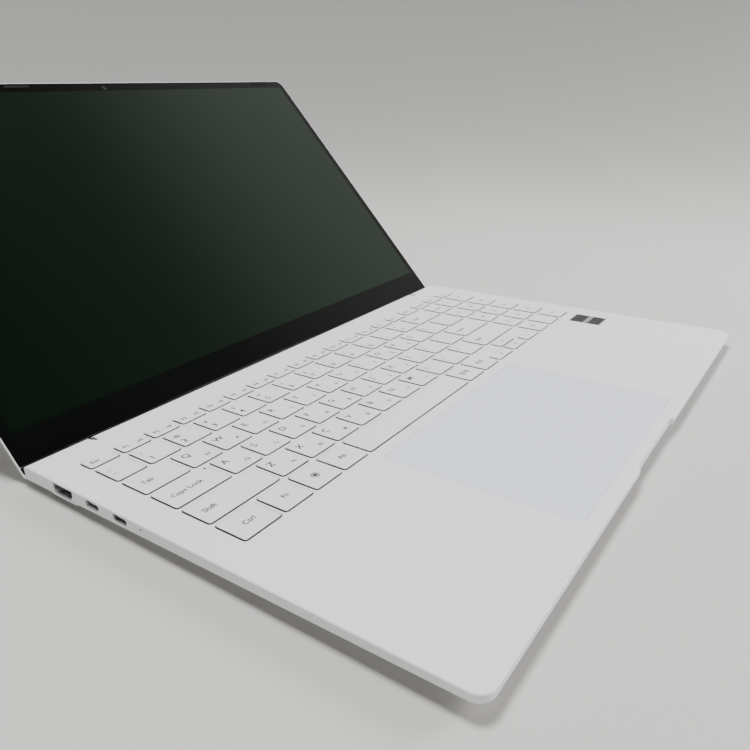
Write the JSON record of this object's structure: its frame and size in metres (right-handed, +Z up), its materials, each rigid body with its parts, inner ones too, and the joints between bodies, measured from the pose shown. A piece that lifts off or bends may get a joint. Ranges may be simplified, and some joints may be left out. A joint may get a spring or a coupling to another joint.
{
  "type": "laptop computer",
  "caption": "Slim white laptop computer with a dropping hinge, wide chiclet keyboard with number pad, off-centre touchpad and a black glass display, shown open.",
  "frame": {"origin": "on the desk plane under the middle of the long rear foot", "axes": "+X to the user's right, +Y to the hinge and the rear, +Z up from the desk"},
  "size_m": [0.3554, 0.3834, 0.1696],
  "materials": {
    "white_shell": "fine matt white paint over light alloy",
    "white_keycap": "matt moulded plastic",
    "rubber": "matt rubber",
    "steel": "satin steel",
    "black_plastic": "matt black plastic",
    "film": "amber film",
    "board": "solder-masked board",
    "copper": "bare copper",
    "battery_foil": "wrapped pouch cell",
    "touch_glass": "satin etched glass",
    "dark_glass": "polished black-backed glass",
    "panel": "switched-off display",
    "light_pipe": "clear light pipe",
    "label": "plain printed foil label"
  },
  "bodies": {
    "base": {"top_case": "white_shell", "bottom_cover": "white_shell", "rubber_feet": "rubber", "bottom_screws": "steel", "keyboard_plate": "steel", "key_contact_sheet": "film", "rubber_domes": "rubber", "scissor_links": "black_plastic", "touchpad_switch": "black_plastic", "palm_label": "label", "hdmi_socket": "steel", "usb_c_sockets": "steel", "usb_a_socket": "steel", "audio_jack": "black_plastic", "card_slot": "steel", "charge_light": "light_pipe", "battery_cells": "battery_foil", "battery_frame": "black_plastic", "main_board": "board", "socket_boards": "board", "processor": "board", "ssd_module": "board", "wireless_card": "board", "heat_spreader": "copper", "display_cable": "film", "heat_pipe": "copper", "cooling_fins": "copper", "fan_housings": "black_plastic", "speakers": "black_plastic", "hinge_brackets": "steel", "hinge_pins": "steel"},
    "lid": {"lid_cover": "white_shell", "display_glass": "dark_glass", "webcam_lens": "dark_glass", "webcam_module": "black_plastic", "antennas": "black_plastic", "display_panel": "panel", "display_board": "board", "hinge_cap": "black_plastic", "lid_bumpers": "rubber", "hinge_arms": "steel"},
    "touchpad": {"touchpad": "touch_glass"},
    "fan_rotor_left": {"fan_rotor_left": "black_plastic"},
    "fan_rotor_right": {"fan_rotor_right": "black_plastic"},
    "power_key": {"power_key": "white_keycap"},
    "function_keys": {"function_keys": "white_keycap"},
    "number_keys": {"number_keys": "white_keycap"},
    "backspace_key": {"backspace_key": "white_keycap"},
    "tab_key": {"tab_key": "white_keycap"},
    "upper_letter_keys": {"upper_letter_keys": "white_keycap"},
    "caps_lock_key": {"caps_lock_key": "white_keycap"},
    "home_letter_keys": {"home_letter_keys": "white_keycap"},
    "enter_key": {"enter_key": "white_keycap"},
    "left_shift_key": {"left_shift_key": "white_keycap"},
    "lower_letter_keys": {"lower_letter_keys": "white_keycap"},
    "right_shift_key": {"right_shift_key": "white_keycap"},
    "modifier_keys": {"modifier_keys": "white_keycap"},
    "space_bar": {"space_bar": "white_keycap"},
    "arrow_keys": {"arrow_keys": "white_keycap"},
    "numpad_keys": {"numpad_keys": "white_keycap"}
  },
  "joints": [
    {"name": "lid_hinge", "type": "hinge", "parent": "base", "child": "lid", "pos_m": [0, 0.0169, 0.00585], "axis": [-1, 0, 0], "range_deg": [-132.4, 12.6]},
    {"name": "touchpad_click", "type": "hinge", "parent": "base", "child": "touchpad", "pos_m": [0, -0.1132, 0.0073], "axis": [1, 0, 0], "range_deg": [0, 0.15], "stiffness_Nm_per_rad": 8, "springref_deg": -0.29},
    {"name": "fan_left_spin", "type": "hinge", "parent": "base", "child": "fan_rotor_left", "pos_m": [-0.093, -0.036, 0.004], "axis": [0, 0, 1], "continuous": true},
    {"name": "fan_right_spin", "type": "hinge", "parent": "base", "child": "fan_rotor_right", "pos_m": [0.093, -0.036, 0.004], "axis": [0, 0, 1], "continuous": true},
    {"name": "power_key_press", "type": "slide", "parent": "base", "child": "power_key", "axis": [0, 0, -1], "range_m": [0, 0.0012], "stiffness_N_per_m": 250, "springref_m": -0.001, "deforming": ["rubber_domes", "scissor_links"]},
    {"name": "function_keys_press", "type": "slide", "parent": "base", "child": "function_keys", "axis": [0, 0, -1], "range_m": [0, 0.0012], "stiffness_N_per_m": 4500, "springref_m": -0.001, "deforming": ["rubber_domes", "scissor_links"]},
    {"name": "number_keys_press", "type": "slide", "parent": "base", "child": "number_keys", "axis": [0, 0, -1], "range_m": [0, 0.0012], "stiffness_N_per_m": 3250, "springref_m": -0.001, "deforming": ["rubber_domes", "scissor_links"]},
    {"name": "backspace_key_press", "type": "slide", "parent": "base", "child": "backspace_key", "axis": [0, 0, -1], "range_m": [0, 0.0012], "stiffness_N_per_m": 250, "springref_m": -0.001, "deforming": ["rubber_domes", "scissor_links"]},
    {"name": "tab_key_press", "type": "slide", "parent": "base", "child": "tab_key", "axis": [0, 0, -1], "range_m": [0, 0.0012], "stiffness_N_per_m": 250, "springref_m": -0.001, "deforming": ["rubber_domes", "scissor_links"]},
    {"name": "upper_letter_keys_press", "type": "slide", "parent": "base", "child": "upper_letter_keys", "axis": [0, 0, -1], "range_m": [0, 0.0012], "stiffness_N_per_m": 3250, "springref_m": -0.001, "deforming": ["rubber_domes", "scissor_links"]},
    {"name": "caps_lock_key_press", "type": "slide", "parent": "base", "child": "caps_lock_key", "axis": [0, 0, -1], "range_m": [0, 0.0012], "stiffness_N_per_m": 250, "springref_m": -0.001, "deforming": ["rubber_domes", "scissor_links"]},
    {"name": "home_letter_keys_press", "type": "slide", "parent": "base", "child": "home_letter_keys", "axis": [0, 0, -1], "range_m": [0, 0.0012], "stiffness_N_per_m": 2750, "springref_m": -0.001, "deforming": ["rubber_domes", "scissor_links"]},
    {"name": "enter_key_press", "type": "slide", "parent": "base", "child": "enter_key", "axis": [0, 0, -1], "range_m": [0, 0.0012], "stiffness_N_per_m": 250, "springref_m": -0.001, "deforming": ["rubber_domes", "scissor_links"]},
    {"name": "left_shift_key_press", "type": "slide", "parent": "base", "child": "left_shift_key", "axis": [0, 0, -1], "range_m": [0, 0.0012], "stiffness_N_per_m": 250, "springref_m": -0.001, "deforming": ["rubber_domes", "scissor_links"]},
    {"name": "lower_letter_keys_press", "type": "slide", "parent": "base", "child": "lower_letter_keys", "axis": [0, 0, -1], "range_m": [0, 0.0012], "stiffness_N_per_m": 2500, "springref_m": -0.001, "deforming": ["rubber_domes", "scissor_links"]},
    {"name": "right_shift_key_press", "type": "slide", "parent": "base", "child": "right_shift_key", "axis": [0, 0, -1], "range_m": [0, 0.0012], "stiffness_N_per_m": 250, "springref_m": -0.001, "deforming": ["rubber_domes", "scissor_links"]},
    {"name": "modifier_keys_press", "type": "slide", "parent": "base", "child": "modifier_keys", "axis": [0, 0, -1], "range_m": [0, 0.0012], "stiffness_N_per_m": 1500, "springref_m": -0.001, "deforming": ["rubber_domes", "scissor_links"]},
    {"name": "space_bar_press", "type": "slide", "parent": "base", "child": "space_bar", "axis": [0, 0, -1], "range_m": [0, 0.0012], "stiffness_N_per_m": 250, "springref_m": -0.001, "deforming": ["rubber_domes", "scissor_links"]},
    {"name": "arrow_keys_press", "type": "slide", "parent": "base", "child": "arrow_keys", "axis": [0, 0, -1], "range_m": [0, 0.0012], "stiffness_N_per_m": 1000, "springref_m": -0.001, "deforming": ["rubber_domes", "scissor_links"]},
    {"name": "numpad_keys_press", "type": "slide", "parent": "base", "child": "numpad_keys", "axis": [0, 0, -1], "range_m": [0, 0.0012], "stiffness_N_per_m": 3750, "springref_m": -0.001, "deforming": ["rubber_domes", "scissor_links"]}
  ]
}
